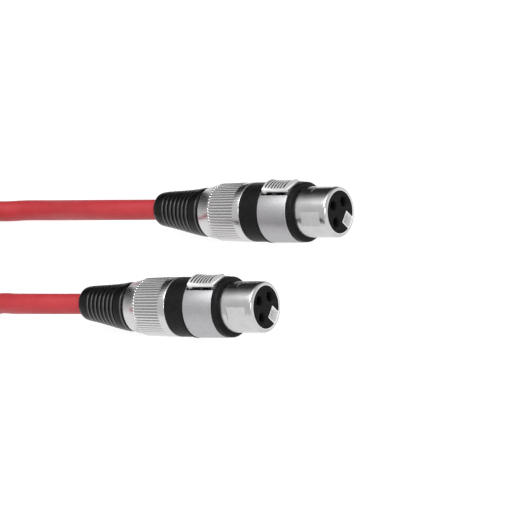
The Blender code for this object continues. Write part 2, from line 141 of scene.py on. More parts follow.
# The leads' routes from inside each connector down to the floor and on to the coil
LEAD_ROUTES = {
    "a": [
        (-0.0440, 0.02455, 0.00970),
        (-0.0520, 0.02455, 0.00970),
        (-0.0634, 0.02599, 0.00861),
        (-0.0744, 0.02882, 0.00648),
        (-0.0854, 0.03164, 0.00434),
        (-0.0974, 0.03308, 0.00325),
        (-0.1050, 0.03330, 0.00325),
        (-0.1119, 0.03440, 0.00325),
    ],
    "b": [
        (-0.0440, -0.02455, 0.00970),
        (-0.0520, -0.02455, 0.00970),
        (-0.0634, -0.02311, 0.00861),
        (-0.0744, -0.02050, 0.00648),
        (-0.0834, -0.02180, 0.00440),
        (-0.0924, -0.02680, 0.00330),
        (-0.1014, -0.03420, 0.00325),
        (-0.1104, -0.04180, 0.00360),
        (-0.1200, -0.04700, 0.00520),
    ],
}

# Where along X a lead leaves its raised line for the coil's own
RAISE_END, RAISE_START = -0.112, -0.098

# The way down from the coil's top layer to lead b: x from the coil's centre, and height
COIL_WAY_DOWN = ((0.0060, 0.00975), (0.0140, 0.00915), (0.0210, 0.00735))


def connector_place(end):
    """The centre of a connector's mating face."""
    low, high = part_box(f"rear_ring_{end}")
    return Vector((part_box(f"shell_{end}")[1].x, (low.y + high.y) / 2, (low.z + high.z) / 2))


PLACES = {end: connector_place(end) for end in ENDS}


# ---------------------------------------------------------------- small helpers


def smooth(start, end, value):
    """A soft step from 0 at start to 1 at end. It falls instead where end is the smaller of the two."""
    share = min(max((value - start) / (end - start), 0.0), 1.0)
    return share * share * (3 - 2 * share)


def steps(start, end, count):
    """Even steps from start to end, both included."""
    return [start + (end - start) * k / count for k in range(count + 1)]


def spot(t, r, beta):
    """A point round the connector's axis."""
    return Vector((-t, -r * math.sin(beta), r * math.cos(beta))) * MM


def side_spot(t, s, h, beta):
    """The point h mm from the axis along beta, and s mm beside that line, towards the near side."""
    across = Vector((0, -math.cos(beta), -math.sin(beta))) * s * MM
    return spot(t, h, beta) + across


def rounded(corners, arc_steps=5):
    """The closed outline through corners (t, r) or (t, r, fillet), each fillet as an arc."""
    outline = []
    for k, corner in enumerate(corners):
        here = Vector(corner[:2])
        if len(corner) == 2:
            outline.append(here)
            continue
        back = (Vector(corners[k - 1][:2]) - here).normalized()
        ahead = (Vector(corners[(k + 1) % len(corners)][:2]) - here).normalized()
        half = back.angle(ahead) / 2
        centre = here + (back + ahead).normalized() * corner[2] / math.sin(half)
        start = (here + back * corner[2] / math.tan(half) - centre).normalized()
        end = (here + ahead * corner[2] / math.tan(half) - centre).normalized()
        for step in range(arc_steps + 1):
            outline.append(centre + start.slerp(end, step / arc_steps) * corner[2])
    return outline


def refined(outline, start, end, longest):
    """The outline with its stretches between start and end cut to at most that length."""
    finer = []
    for k, point in enumerate(outline):
        following = outline[(k + 1) % len(outline)]
        finer.append(point)
        inside = start <= min(point.x, following.x) and max(point.x, following.x) <= end
        parts = math.ceil((following - point).length / longest) if inside else 1
        finer += [point.lerp(following, part / parts) for part in range(1, parts)]
    return finer


def through(points, parts):
    """A Catmull-Rom curve through the points, each stretch in that many parts."""
    padded = [points[0], *points, points[-1]]
    curve = []
    for k in range(len(points) - 1):
        a, b, c, d = (Vector(p) for p in padded[k : k + 4])
        for part in range(parts):
            u = part / parts
            square, cube = 2 * a - 5 * b + 4 * c - d, 3 * b - a - 3 * c + d
            curve.append(0.5 * (2 * b + (c - a) * u + square * u**2 + cube * u**3))
    return [*curve, Vector(points[-1])]


def finished(made, name, sharp):
    """The mesh of a bmesh, smooth but for its sharp edges."""
    mesh = bpy.data.meshes.new(name)
    made.to_mesh(mesh)
    made.free()
    smoothed(mesh, sharp)
    return mesh


def smoothed(mesh, sharp=SHARP_EDGE):
    mesh.shade_smooth()
    mesh.set_sharp_from_angle(angle=math.radians(sharp))


def mesh_of(name, rows, closed=True, caps=False, sharp=SHARP_EDGE):
    """A mesh from rows of points: each row is a ring, and closed joins the last row to the first."""
    made = bmesh.new()
    rings = [[made.verts.new(point) for point in row] for row in rows]
    for k in range(len(rings) if closed else len(rings) - 1):
        here, following = rings[k], rings[(k + 1) % len(rings)]
        for j in range(len(here)):
            after = (j + 1) % len(here)
            made.faces.new((here[j], here[after], following[after], following[j]))
    if caps:
        made.faces.new(rings[0])
        made.faces.new(rings[-1])
    bmesh.ops.remove_doubles(made, verts=made.verts, dist=1e-7)
    bmesh.ops.recalc_face_normals(made, faces=made.faces)
    return finished(made, name, sharp)


def lathe(name, outline, segments=128, change=None, axis=(0.0, 0.0), sharp=SHARP_EDGE):
    """Turns a closed outline of (t, r) points. change(t, r, beta) gives the radius at each place."""
    change = change or (lambda t, r, beta: r)
    shift = Vector((0, *axis))
    angles = [2 * math.pi * k / segments for k in range(segments)]
    rows = [[spot(t, change(t, r, beta), beta) + shift for beta in angles] for t, r in outline]
    return mesh_of(name, rows, sharp=sharp)


def joined(name, meshes):
    """One mesh from several, which stay apart inside it."""
    made = bmesh.new()
    for mesh in meshes:
        made.from_mesh(mesh)
    return finished(made, name, SHARP_EDGE)


def carve(mesh, cutters):
    """The mesh with the cutters' shapes taken out of it."""
    solid = bpy.data.objects.new("solid", mesh)
    bpy.context.scene.collection.objects.link(solid)
    helpers = []
    for cutter in cutters:
        helper = bpy.data.objects.new("cutter", cutter)
        bpy.context.scene.collection.objects.link(helper)
        helpers.append(helper)
        cut = solid.modifiers.new("cut", "BOOLEAN")
        cut.operation = "DIFFERENCE"
        cut.solver = "EXACT"
        cut.object = helper
    bpy.context.view_layer.update()
    graph = bpy.context.evaluated_depsgraph_get()
    carved = bpy.data.meshes.new_from_object(solid.evaluated_get(graph))
    carved.name = mesh.name
    for obj in (solid, *helpers):
        bpy.data.objects.remove(obj)
    smoothed(carved)
    return carved


def painted_light(mesh, amount):
    """Stores amount(t, r, beta), 0 to 1, at each point, as the share of a material's other colour: painted
    shade or painted highlight.
    """
    values = []
    for vertex in mesh.vertices:
        x, y, z = vertex.co / MM
        values.append(amount(-x, math.hypot(y, z), math.atan2(-y, z)))
    mesh.attributes.new("painted_light", "FLOAT", "POINT").data.foreach_set("value", values)


def slab(t_span, half_width, h_span, beta):
    """A box, square to the direction beta and centred on it."""
    low, high = h_span
    corners = [(-half_width, low), (half_width, low), (half_width, high), (-half_width, high)]
    rows = [[side_spot(t, s, h, beta) for s, h in corners] for t in t_span]
    return mesh_of("slab", rows, closed=False, caps=True)


# ---------------------------------------------------------------- materials


class Finish:
    """A Principled material, with short calls for the detail that its nodes add."""

    def __init__(self, name, colour, roughness, metallic=0.0, specular=0.5):
        self.material = bpy.data.materials.new(name)
        self.material.use_nodes = True
        self.nodes = self.material.node_tree.nodes
        self.links = self.material.node_tree.links
        self.shader = self.nodes["Principled BSDF"]
        self.colour = colour
        self.set("Base Color", (*colour, 1.0))
        self.set("Roughness", roughness)
        self.set("Metallic", metallic)
        self.set("Specular IOR Level", specular)
        self.place = self.nodes.new("ShaderNodeTexCoord").outputs["Object"]
        self.height = None

    def set(self, socket, value):
        self.shader.inputs[socket].default_value = value

    def noise(self, scale, detail, stretch=(1, 1, 1)):
        """A noise of that many grains a metre; a stretch above 1 packs them closer along that axis."""
        mapping = self.nodes.new("ShaderNodeMapping")
        mapping.inputs["Scale"].default_value = stretch
        self.links.new(self.place, mapping.inputs["Vector"])
        made = self.nodes.new("ShaderNodeTexNoise")
        made.inputs["Scale"].default_value = scale
        made.inputs["Detail"].default_value = detail
        self.links.new(mapping.outputs["Vector"], made.inputs["Vector"])
        return made.outputs["Fac"]

    def wave(self, scale, direction):
        made = self.nodes.new("ShaderNodeTexWave")
        made.bands_direction = direction
        made.inputs["Scale"].default_value = scale
        self.links.new(self.place, made.inputs["Vector"])
        return made.outputs["Fac"]

    def ranged(self, value, low, high, start=0.3, end=0.7):
        made = self.nodes.new("ShaderNodeMapRange")
        made.inputs["From Min"].default_value = start
        made.inputs["From Max"].default_value = end
        made.inputs["To Min"].default_value = low
        made.inputs["To Max"].default_value = high
        self.links.new(value, made.inputs["Value"])
        return made.outputs["Result"]

    def painted_light(self):
        """The share of painted shade or painted highlight stored at a point."""
        made = self.nodes.new("ShaderNodeAttribute")
        made.attribute_name = "painted_light"
        return made.outputs["Fac"]

    def vary_roughness(self, value, low, high):
        self.links.new(self.ranged(value, low, high), self.shader.inputs["Roughness"])

    def vary_colour(self, value, other, start=0.35, end=0.65):
        """Mixes the other colour in where the value is high."""
        mix = self.nodes.new("ShaderNodeMix")
        mix.data_type = "RGBA"
        mix.inputs["A"].default_value = (*self.colour, 1.0)
        mix.inputs["B"].default_value = (*other, 1.0)
        self.links.new(self.ranged(value, 0.0, 1.0, start, end), mix.inputs["Factor"])
        self.links.new(mix.outputs["Result"], self.shader.inputs["Base Color"])

    def bump(self, value, distance, strength=1.0):
        """Adds a bump of that height in metres, on top of any earlier one."""
        made = self.nodes.new("ShaderNodeBump")
        made.inputs["Strength"].default_value = strength
        made.inputs["Distance"].default_value = distance
        self.links.new(value, made.inputs["Height"])
        if self.height:
            self.links.new(self.height, made.inputs["Normal"])
        self.height = made.outputs["Normal"]
        self.links.new(self.height, self.shader.inputs["Normal"])


def polished_nickel():
    made = Finish("polished_nickel", (0.53, 0.525, 0.53), 0.23, metallic=1.0)
    made.vary_roughness(made.noise(900, 4), 0.20, 0.26)
    made.vary_colour(made.noise(260, 5), (0.49, 0.485, 0.49))
    made.bump(made.noise(5200, 2), 0.000004, 0.35)
    return made.material


def inner_nickel():
    made = Finish("inner_nickel", (0.88, 0.88, 0.88), 0.55, metallic=0.05)
    made.vary_colour(made.noise(900, 4), (0.83, 0.83, 0.84))
    made.bump(made.noise(4200, 3), 0.000008, 0.5)
    return made.material


def recess_nickel():
    """The blasted floor of the shallow recess in the nose."""
    made = Finish("recess_nickel", (0.56, 0.555, 0.56), 0.55, metallic=0.75)
    made.vary_roughness(made.noise(2400, 3), 0.48, 0.60)
    made.vary_colour(made.noise(1200, 4), (0.51, 0.505, 0.51))
    return made.material


def satin_nickel():
    made = Finish("satin_nickel", (0.45, 0.44, 0.455), 0.46, metallic=1.0)
    made.vary_roughness(made.noise(3800, 3), 0.42, 0.51)
    made.vary_colour(made.noise(2600, 4), (0.365, 0.36, 0.37))
    made.bump(made.noise(2800, 3), 0.00003, 0.6)
    return made.material


def nut_nickel():
    made = Finish("nut_nickel", (0.62, 0.61, 0.62), 0.24, metallic=1.0)
    made.vary_roughness(made.noise(3000, 3), 0.20, 0.29)
    # Painted shade: darker in the knurl's valleys, its own colour on the crests
    made.vary_colour(made.painted_light(), (0.42, 0.415, 0.42), 0.0, 1.0)
    made.bump(made.noise(5200, 3), 0.000010, 0.5)
    return made.material


def latch_nickel():
    made = Finish("latch_nickel", (0.71, 0.70, 0.71), 0.46, metallic=0.6)
    made.vary_roughness(made.noise(3000, 3), 0.40, 0.52)
    # Near black where painted shade is stored: in the rib grooves and behind the lip
    made.vary_colour(made.painted_light(), (0.02, 0.02, 0.02), 0.05, 0.5)
    made.bump(made.noise(5200, 3), 0.000008, 0.5)
    return made.material


def ring_plastic():
    made = Finish("ring_plastic", (0.006, 0.006, 0.0065), 0.42, specular=0.08)
    made.vary_roughness(made.noise(1800, 3), 0.36, 0.50)
    made.vary_colour(made.noise(700, 4), (0.009, 0.009, 0.0095))
    made.bump(made.noise(9000, 2), 0.000006, 0.5)
    return made.material


def insert_plastic():
    made = Finish("insert_plastic", (0.005, 0.005, 0.0053), 0.50, specular=0.05)
    made.vary_roughness(made.noise(1500, 3), 0.42, 0.60)
    made.vary_colour(made.noise(900, 5), (0.009, 0.009, 0.0095))
    made.bump(made.noise(7000, 3), 0.000010, 0.6)
    return made.material


def boot_rubber():
    made = Finish("boot_rubber", (0.003, 0.003, 0.0032), 0.27, specular=0.17)
    made.vary_roughness(made.noise(2200, 3), 0.23, 0.32)
    # Paler where painted highlights are stored, on the rounded front edges of the rings
    made.vary_colour(made.painted_light(), (0.15, 0.15, 0.152), 0.0, 1.0)
    made.bump(made.noise(8000, 3), 0.000004, 0.4)
    return made.material


def contact_silver():
    made = Finish("contact_silver", (0.86, 0.84, 0.79), 0.18, metallic=1.0)
    made.vary_roughness(made.noise(2500, 3), 0.12, 0.28)
    made.vary_colour(made.noise(1500, 4), (0.70, 0.66, 0.58))
    return made.material


def spring_steel():
    made = Finish("spring_steel", (0.58, 0.58, 0.60), 0.28, metallic=1.0)
    made.vary_roughness(made.noise(2500, 3), 0.20, 0.40)
    made.bump(made.noise(1200, 3, (9, 1, 1)), 0.000006, 0.5)
    return made.material


def chuck_plastic():
    made = Finish("chuck_plastic", (0.028, 0.028, 0.030), 0.50, specular=0.4)
    made.vary_colour(made.noise(900, 4), (0.040, 0.040, 0.043))
    made.bump(made.noise(6000, 3), 0.000010, 0.5)
    return made.material


def core_plastic(name, colour, darker):
    made = Finish(name, colour, 0.42)
    made.vary_colour(made.noise(1200, 4), darker)
    made.bump(made.noise(5000, 2), 0.000008, 0.5)
    return made.material


def bare_copper():
    made = Finish("bare_copper", (0.72, 0.38, 0.22), 0.32, metallic=1.0)
    made.vary_colour(made.noise(1500, 4), (0.55, 0.27, 0.15))
    made.bump(made.wave(900, "DIAGONAL"), 0.00004)
    return made.material


def cable_jacket():
    made = Finish("cable_jacket", (0.385, 0.033, 0.040), 0.46, specular=0.24)
    made.vary_roughness(made.noise(1400, 3), 0.40, 0.54)
    made.vary_colour(made.noise(240, 5), (0.358, 0.028, 0.035))
    made.bump(made.noise(4200, 3), 0.000008, 0.5)
    return made.material


def hook_and_loop():
    made = Finish("hook_and_loop", (0.013, 0.013, 0.014), 0.80, specular=0.3)
    made.set("Sheen Weight", 0.25)
    made.vary_colour(made.noise(1500, 4), (0.030, 0.030, 0.032))
    made.bump(made.wave(330, "Y"), 0.00015, 0.5)
    made.bump(made.noise(3200, 5), 0.00020, 0.8)
    return made.material


# ---------------------------------------------------------------- connector shapes


def shell_mesh():
    """Nose, sleeve, seat and threaded tail, with the latch window, the slot of its arm and the recess."""
    corners = [
        (NOSE_START, MOUTH_R, 0.12),
        (NOSE_START, NOSE_R, 1.0),
        (SLEEVE_START, NOSE_R),
        (SLEEVE_START, SLEEVE_R, 0.22),
        (SLEEVE_END, SLEEVE_R, 0.18),
        (SLEEVE_END, SEAT_R),
        (SEAT_END, SEAT_R, 0.15),
        (SEAT_END, THREAD_R),
        (TAIL_END, THREAD_R, 0.3),
        (TAIL_END, TAIL_BORE_R, 0.2),
        (TAIL_BORE_START, TAIL_BORE_R),
        (TAIL_BORE_START, BORE_R),
        (0.6, BORE_R),
        (0.4, MOUTH_R),
    ]
    outline = refined(rounded(corners), SEAT_END, TAIL_END, THREAD_PITCH / 8)
    outside = (THREAD_R + TAIL_BORE_R) / 2

    def threaded(t, r, beta):
        if r < outside:
            return r
        turns = (t / THREAD_PITCH + beta / (2 * math.pi)) % 1.0
        fade = smooth(THREAD_START, THREAD_START + THREAD_FADE, t)
        fade *= smooth(THREAD_END, THREAD_END - THREAD_FADE, t)
        return r - THREAD_DEPTH * abs(2 * turns - 1) * fade

    window = slab((14.02, 24.75), 4.6, (6.0, 12.0), LATCH_ANGLE)
    arm_slot = slab((7.0, 14.6), 1.7, (6.0, 9.0), LATCH_ANGLE)
    recess = slab((2.2, 9.5), 4.0, (7.67, 9.0), RECESS_ANGLE)
    shell = carve(lathe("shell", outline, 144, threaded), [window, arm_slot, recess])
    liner = slab((-0.2, 13.0), 2.12, (2.8, 6.95), KEY_ANGLE)
    liner = carve(liner, [slab((-0.5, 14.0), 1.88, (3.04, 8.0), KEY_ANGLE)])
    return joined("shell", [shell, liner])


def ring_mesh(name, corners):
    return lathe(name, rounded(corners), 144)


def front_ring_mesh():
    corners = [
        (FRONT_RING_START, FRONT_RING_BORE_R),
        (FRONT_RING_START, FRONT_RING_R, 0.7),
        (FRONT_RING_END, FRONT_RING_R, 0.3),
        (FRONT_RING_END, FRONT_RING_BORE_R),
    ]
    return ring_mesh("front_ring", corners)


def rear_ring_mesh():
    """The ring behind the sleeve, with a thin raised lip at its front."""
    corners = [
        (REAR_RING_START, REAR_RING_BORE_R),
        (REAR_RING_START, REAR_LIP_R, 0.25),
        (26.2, REAR_LIP_R, 0.15),
        (26.45, REAR_RING_R, 0.1),
        (REAR_RING_END, REAR_RING_R, 0.3),
        (REAR_RING_END, REAR_RING_BORE_R),
    ]
    return ring_mesh("rear_ring", corners)


def hole_places():
    """The centres of the three sockets in the mating face."""
    return {name: spot(0, CONTACT_CIRCLE, beta) for name, beta in CONTACT_ANGLES.items()}


def insert_mesh():
    """The black insulator: three chamfered sockets, the keyway, and a channel under the latch's arm."""
    disc = [
        (INSERT_START, 0.0),
        (INSERT_START, INSERT_R, 0.12),
        (INSERT_END, INSERT_R, 0.2),
        (INSERT_END, 0.0),
    ]
    socket = [
        (-1.0, 0.0),
        (-1.0, 1.95),
        (INSERT_START, 1.72),
        (0.25, 1.4),
        (1.2, 1.4),
        (1.2, 1.95),
        (20.0, 1.95),
        (20.0, 0.0),
    ]
    cutters = [
        lathe("socket", [Vector(p) for p in socket], 48, axis=(place.y, place.z))
        for place in hole_places().values()
    ]
    cutters.append(slab((-1.0, 13.2), 2.14, (2.78, 9.0), KEY_ANGLE))
    cutters.append(slab((6.6, 20.0), 1.65, (5.3, 9.0), LATCH_ANGLE))
    return carve(lathe("insert", rounded(disc)), cutters)


def contact_mesh(number):
    """A turned socket contact, with its bore in front and its solder cup behind."""
    corners = [
        (9.0, 0.0),
        (9.0, CONTACT_BORE_R),
        (2.35, CONTACT_BORE_R),
        (2.1, 1.45, 0.05),
        (2.1, CONTACT_R, 0.15),
        (17.8, CONTACT_R, 0.1),
        (18.2, CONTACT_BORE_R, 0.1),
        (26.2, CONTACT_BORE_R, 0.1),
        (26.2, CUP_R, 0.1),
        (20.5, CUP_R),
        (20.5, 0.0),
    ]
    place = hole_places()[number]
    return lathe(f"contact_{number}", rounded(corners, 3), 40, axis=(place.y, place.z))


def knurl_valley(beta):
    """0 on the crest of a ridge of the back nut, and 1 at the bottom of the valley beside it."""
    along = (beta * KNURL_RIDGES / (2 * math.pi)) % 1.0
    return max(0.0, 1 - abs(2 * along - 1) / VALLEY_SHARE)


def knurl_fade(t):
    """1 along the ridges, running out to 0 at their ends."""
    return smooth(KNURL_START, KNURL_START + KNURL_FADE, t) * smooth(KNURL_END, KNURL_END - KNURL_FADE, t)


def back_nut_mesh():
    """The back nut, with a smooth band in front, straight ridges and a smooth cone behind."""
    corners = [
        (NUT_START, NUT_BORE_R),
        (NUT_START, NUT_FRONT_R, 0.25),
        (KNURL_START, NUT_FRONT_R),
        *((KNURL_START + gap, NUT_FRONT_R) for gap in (0.1, 0.2, 0.3, KNURL_FADE)),
        *((KNURL_END - gap, NUT_REAR_R) for gap in (KNURL_FADE, 0.3, 0.2, 0.1)),
        (KNURL_END, NUT_REAR_R),
        (KNURL_END + 0.15, 8.9),
        (NUT_END, 7.88, 0.45),
        (NUT_END, NUT_NECK_R, 0.2),
        (47.0, NUT_NECK_R),
        (47.0, NUT_BORE_R),
    ]

    def knurled(t, r, beta):
        if not (KNURL_START <= t <= KNURL_END and r > 8.5):
            return r
        return r - KNURL_DEPTH * knurl_valley(beta) * knurl_fade(t)

    mesh = lathe("back_nut", rounded(corners), KNURL_RIDGES * 10, knurled, sharp=50)
    # Painted shade: none on the crests, most in the valleys, PLAIN_SHADE on the plain parts
    painted_light(mesh, lambda t, r, beta: PLAIN_SHADE + knurl_fade(t) * (knurl_valley(beta) - PLAIN_SHADE))
    return mesh


def groove(t, centre, depth):
    """How much a groove takes off the boot: steep in front, and rounded over onto the ring behind it.

    In half-widths, its flat floor reaches 0.55 from its centre, and its side goes on for 0.74 in front
    and 2.1 times as far behind.
    """
    off = (t - centre) / GROOVE_HALF_WIDTH
    if not -1.25 < off < 2.1:
        return 0.0
    past_floor = max(-off - 0.55, (off - 0.55) / 2.1, 0.0) / 0.74
    if not past_floor:
        return depth
    return depth * (1 - math.sqrt(1 - (1 - min(past_floor, 1.0)) ** 2))


def from_boot_top(beta):
    """The angle in degrees from where the bent boot's grooves close up."""
    return abs((math.degrees(beta) - BOOT_TOP_DEGREES + 180) % 360 - 180)


def painted_edge_highlight(t, beta):
    """How strongly a highlight is painted on the rounded front edge of each of the boot's rings, 0 to 1,
    most on the lower side.
    """
    edge = 0.0
    for centre, _ in BOOT_GROOVES:
        off = (t - centre) / GROOVE_HALF_WIDTH
        edge += smooth(0.6, 1.2, off) * smooth(2.3, 1.5, off)
    from_top = from_boot_top(beta)
    return edge * (0.45 * smooth(50, 75, from_top) + 0.55 * smooth(100, 150, from_top))


def boot_radius(curve, t):
    """The boot's smooth outer radius."""
    for near, far in zip(curve, curve[1:]):
        if near.x <= t <= far.x:
            return near.y + (far.y - near.y) * (t - near.x) / (far.x - near.x)
    return curve[-1].y


def boot_mesh():
    """The rubber boot: its grooves close up on top where it bends, and its domed end rises a little."""
    outer = through([(49.95, 7.8), (51.9, 7.67), (55.8, 7.05), (60.0, 6.42), (63.5, 5.94), (67.0, 5.5)], 12)
    rows = [Vector((t, boot_radius(outer, t))) for t in steps(RIBBED_START, RIBBED_END, 240)]
    dome = through([(RIBBED_END, 5.5), (68.2, 5.2), (69.0, 4.6), (BOOT_END, 4.05)], 5)
    bore = [(69.1, 3.5), (67.6, 3.5), (66.6, 3.9), (47.3, 3.9)]
    collar = [(47.3, 6.2), (BOOT_START, 6.2), (BOOT_START, 7.55)]
    outline = [*rows, *dome, *(Vector(p) for p in bore + collar)]

    def grooved(t, r, beta):
        if r < 5.2 or not RIBBED_START <= t <= RIBBED_END:
            return r
        taken = sum(groove(t, centre, depth) for centre, depth in BOOT_GROOVES)
        return r - taken * (0.3 + 0.7 * smooth(20, 70, from_boot_top(beta)))

    mesh = lathe("boot", outline, 128, grooved, sharp=40)
    # Painted highlights on the rings' rounded front edges, none near the top
    painted_light(mesh, lambda t, r, beta: painted_edge_highlight(t, beta) if r > 4.8 else 0.0)
    for vertex in mesh.vertices:
        radius = math.hypot(vertex.co.y, vertex.co.z) / MM
        vertex.co += rise_at(-vertex.co.x / MM, BOOT_RISE if radius > 4.0 else CABLE_RISE)
    return mesh


def rise_at(t, most):
    """How far the boot's soft end and the cable in it stand above the connector's axis."""
    return Vector((0, RISE_Y, RISE_Z)) * most * MM * smooth(RISE_START, RISE_END, t)


def rib_groove(t, s):
    """0 on the crests of the latch's ribs and on its margins, 1 at the bottom of a groove."""
    beside = 1 - smooth(2.3, 2.6, abs(s))
    behind_lip = smooth(16.1, 16.35, t) * smooth(17.0, 16.85, t)
    along = (t - RIBS_START) / RIB_PITCH
    between = 0.0
    if 0 < along < RIB_COUNT:
        between = smooth(0.42, 0.56, along % 1.0) * smooth(1.0, 0.86, along % 1.0)
    return beside * max(behind_lip, between)


def latch_top(t, s):
    """The thumb pad's height: a saddle, grooved across, with a plain lip in front."""
    height = LATCH_HEIGHT + LATCH_SADDLE * min(abs(t - LATCH_MIDDLE) / SADDLE_HALF_LENGTH, 1.1) ** 2
    height += math.sqrt(LATCH_CROWN**2 - s * s) - LATCH_CROWN
    return height - RIB_DEPTH * rib_groove(t, s)


def lip_bow(s):
    """How far the lip's curved front edge reaches ahead of the pad."""
    return LIP_REACH * (1 - (s / LATCH_HALF_WIDTH) ** 2)


def pad_mesh():
    """The thumb pad, a curved plate. Its rounded lip bows forward, and ends above the front ring."""
    edge, fillet, end_fillet = LATCH_HALF_WIDTH, 0.4, 0.3
    length = LATCH_END - LATCH_START
    turns = [math.radians(a) for a in (20, 40, 60, 80)]
    rows = []
    for k, share in enumerate(steps(0, 1, 220)):
        t = LATCH_START + length * share
        spots = [(s, latch_top(t, s)) for s in steps(-edge + fillet, edge - fillet, 40)]
        corner = latch_top(t, edge - fillet) - fillet
        near = [(edge - fillet + fillet * math.sin(a), corner + fillet * math.cos(a)) for a in turns]
        far = [(-s, h) for s, h in reversed(near)]
        rounding = max(end_fillet - length * min(share, 1 - share), 0.0)
        drop = end_fillet - math.sqrt(end_fillet**2 - rounding**2)
        row = []
        for s, h in [*far, *spots, *near]:
            bow = lip_bow(s) * smooth(16.0, LATCH_START, t)
            row.append(side_spot(t - bow, s, h - drop, LATCH_ANGLE))
        for s in steps(edge, -edge, 24):
            bow = lip_bow(s) if k == 0 else 0.0
            under = PAD_UNDERSIDE
            if k < 2:
                under = math.sqrt(LIP_UNDERSIDE**2 - s * s) - 0.25 * (s / edge) ** 2
            row.append(side_spot(t - bow, s, under, LATCH_ANGLE))
        rows.append(row)
    return mesh_of("pad", rows, closed=False, caps=True)


def arm_mesh():
    """The latch's arm under the front ring, from the catch tooth in the nose to the pad."""
    rows = []
    for t, top in ARM_TOPS:
        across = steps(-ARM_HALF_WIDTH, ARM_HALF_WIDTH, 8)
        row = [side_spot(t, s, math.sqrt(top * top - s * s), LATCH_ANGLE) for s in across]
        row += [side_spot(t, s, ARM_UNDERSIDE, LATCH_ANGLE) for s in (ARM_HALF_WIDTH, -ARM_HALF_WIDTH)]
        rows.append(row)
    return mesh_of("arm", rows, closed=False, caps=True)


def latch_mesh():
    """The latch: pad, arm and two bosses, satin outside and polished where it shows in the nose, with
    painted shade in its rib grooves.
    """
    latch = joined("latch", [pad_mesh(), arm_mesh(), boss_mesh(-BOSS_OFFSET), boss_mesh(BOSS_OFFSET)])

    def painted_groove_shade(t, r, beta):
        s, h = r * math.sin(beta - LATCH_ANGLE), r * math.cos(beta - LATCH_ANGLE)
        return rib_groove(t, s) if h > 8.6 else 0.0

    # Painted shade in the grooves between the ribs and behind the lip, on the pad's top only
    painted_light(latch, painted_groove_shade)
    for finish in (latch_nickel(), polished_nickel()):
        latch.materials.append(finish)
    for face in latch.polygons:
        low = math.hypot(face.center.y, face.center.z) < (NOSE_R + 0.3) * MM
        in_nose = low and -face.center.x < FRONT_RING_END * MM
        face.material_index = 1 if in_nose else 0
    return latch


def boss_mesh(middle):
    """One of the round bosses at the rear corners of the pad, over the hinge."""
    centre_t, centre_h = BOSS_PLACE
    angles = [2 * math.pi * k / 28 for k in range(28)]
    rows = []
    for s, size in ((-0.42, 0.55), (-0.36, 0.72), (-0.24, 0.8), (0.24, 0.8), (0.36, 0.72), (0.42, 0.55)):
        circle = [(centre_t + size * math.cos(a), centre_h + size * math.sin(a)) for a in angles]
        rows.append([side_spot(t, middle + s, h, LATCH_ANGLE) for t, h in circle])
    return mesh_of("boss", rows, closed=False, caps=True)


# ---------------------------------------------------------------- cable and strap


def coil_point(turns):
    """The cable's centre that many turns into the coil: inwards on the floor, then outwards on top."""
    outer, middle, inner = COIL_COLUMNS
    inwards = ((0.78, 0.20, outer, middle), (1.78, 0.20, middle, inner))
    outwards = ((3.46, 0.26, inner, middle), (4.46, 0.26, middle, outer))
    radius = outer
    for start, run, near, far in inwards + outwards:
        radius += (far - near) * smooth(start, start + run, turns)
    low, high = COIL_LAYERS
    height = low + (high - low) * smooth(2.52, 2.80, turns)
    angle = COIL_START_ANGLE + 2 * math.pi * turns
    past_tie = (angle - TIE_ANGLE + math.pi) % (2 * math.pi) - math.pi
    height += TIE_LIFT * math.exp(-((past_tie / TIE_SPREAD) ** 2))
    return COIL_CENTRE + Vector((radius * math.cos(angle), radius * math.sin(angle), height))


def raised(point):
    """A route point, moved up as the boot's end is, and to the side where it is already on the floor."""
    t = (PLACES["a"].x - point.x) / MM
    rise = rise_at(t, CABLE_RISE)
    on_floor = 1 - (point.z - CABLE_RADIUS) / (PLACES["a"].z - CABLE_RADIUS)
    side = Vector((0, rise.length / RISE_Y, 0))
    return point + rise.lerp(side, min(max(on_floor, 0.0), 1.0)) * smooth(RAISE_END, RAISE_START, point.x)


def lead_points(end):
    """From inside the connector, straight out through nut and boot, then along the lead's route."""
    place = PLACES[end]
    inside = [Vector((place.x - t * MM, place.y, place.z)) for t in (42.0, 48.0, 54.0, 60.0, 65.0, 70.0)]
    return [raised(point) for point in [*inside, *(Vector(p) for p in LEAD_ROUTES[end])]]


def cable_points():
    """The whole cable's route, from connector a through the coil to connector b."""
    last = round(COIL_TURNS * TURN_POINTS)
    coil = [coil_point(k / TURN_POINTS) for k in range(-1, last + 1)]
    down = [COIL_CENTRE + Vector((x, -COIL_COLUMNS[0], z)) for x, z in COIL_WAY_DOWN]
    return [*lead_points("a"), *coil, *down, *reversed(lead_points("b"))]


def cable_curve():
    """The cable as one smooth round tube with closed ends."""
    data = bpy.data.curves.new("cable", "CURVE")
    data.dimensions = "3D"
    data.resolution_u = 4
    data.bevel_depth = CABLE_RADIUS
    data.bevel_resolution = 7
    data.use_fill_caps = True
    points = cable_points()
    spline = data.splines.new("BEZIER")
    spline.bezier_points.add(len(points) - 1)
    for target, point in zip(spline.bezier_points, points):
        target.co = point
        target.handle_left_type = target.handle_right_type = "AUTO"
    return data


